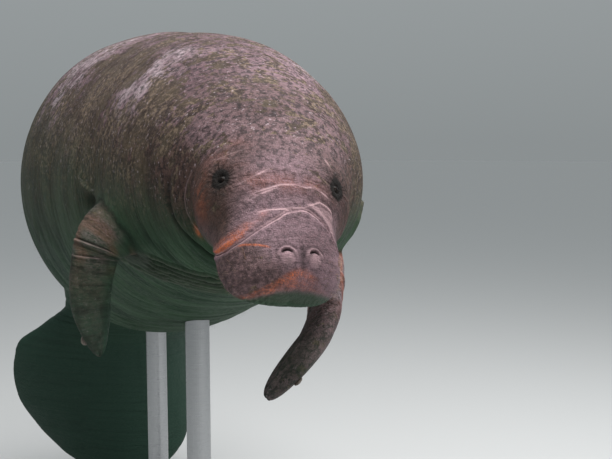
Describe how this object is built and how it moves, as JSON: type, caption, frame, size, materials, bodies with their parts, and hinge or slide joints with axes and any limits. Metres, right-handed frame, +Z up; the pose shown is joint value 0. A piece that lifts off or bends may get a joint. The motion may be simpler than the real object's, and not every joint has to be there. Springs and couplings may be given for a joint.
{
  "type": "manatee display model",
  "caption": "Life-size manatee in a swimming pose, with a rounded body, paddle tail and two flippers, held by rods on a flat stand.",
  "frame": {"origin": "centre of the underside of the stand's base", "axes": "+Z up; the animal faces -Y with its left side towards +X"},
  "size_m": [0.8, 2.1085, 1.6228],
  "materials": {
    "skin": "rough wrinkled skin, grey with algae stains",
    "eye": "wet and glossy",
    "nail": "satin horn",
    "bristle": "stiff hair",
    "stand": "satin powder coat",
    "rod": "brushed"
  },
  "bodies": {
    "root": {"head": "skin", "neck": "skin", "chest": "skin", "belly": "skin", "tail_stock": "skin", "tail_paddle": "skin", "flipper_right": "skin", "flipper_left": "skin", "eye_right": "eye", "eye_left": "eye", "stand_base": "stand", "stand_rod_front": "rod", "stand_rod_rear": "rod"}
  },
  "joints": []
}
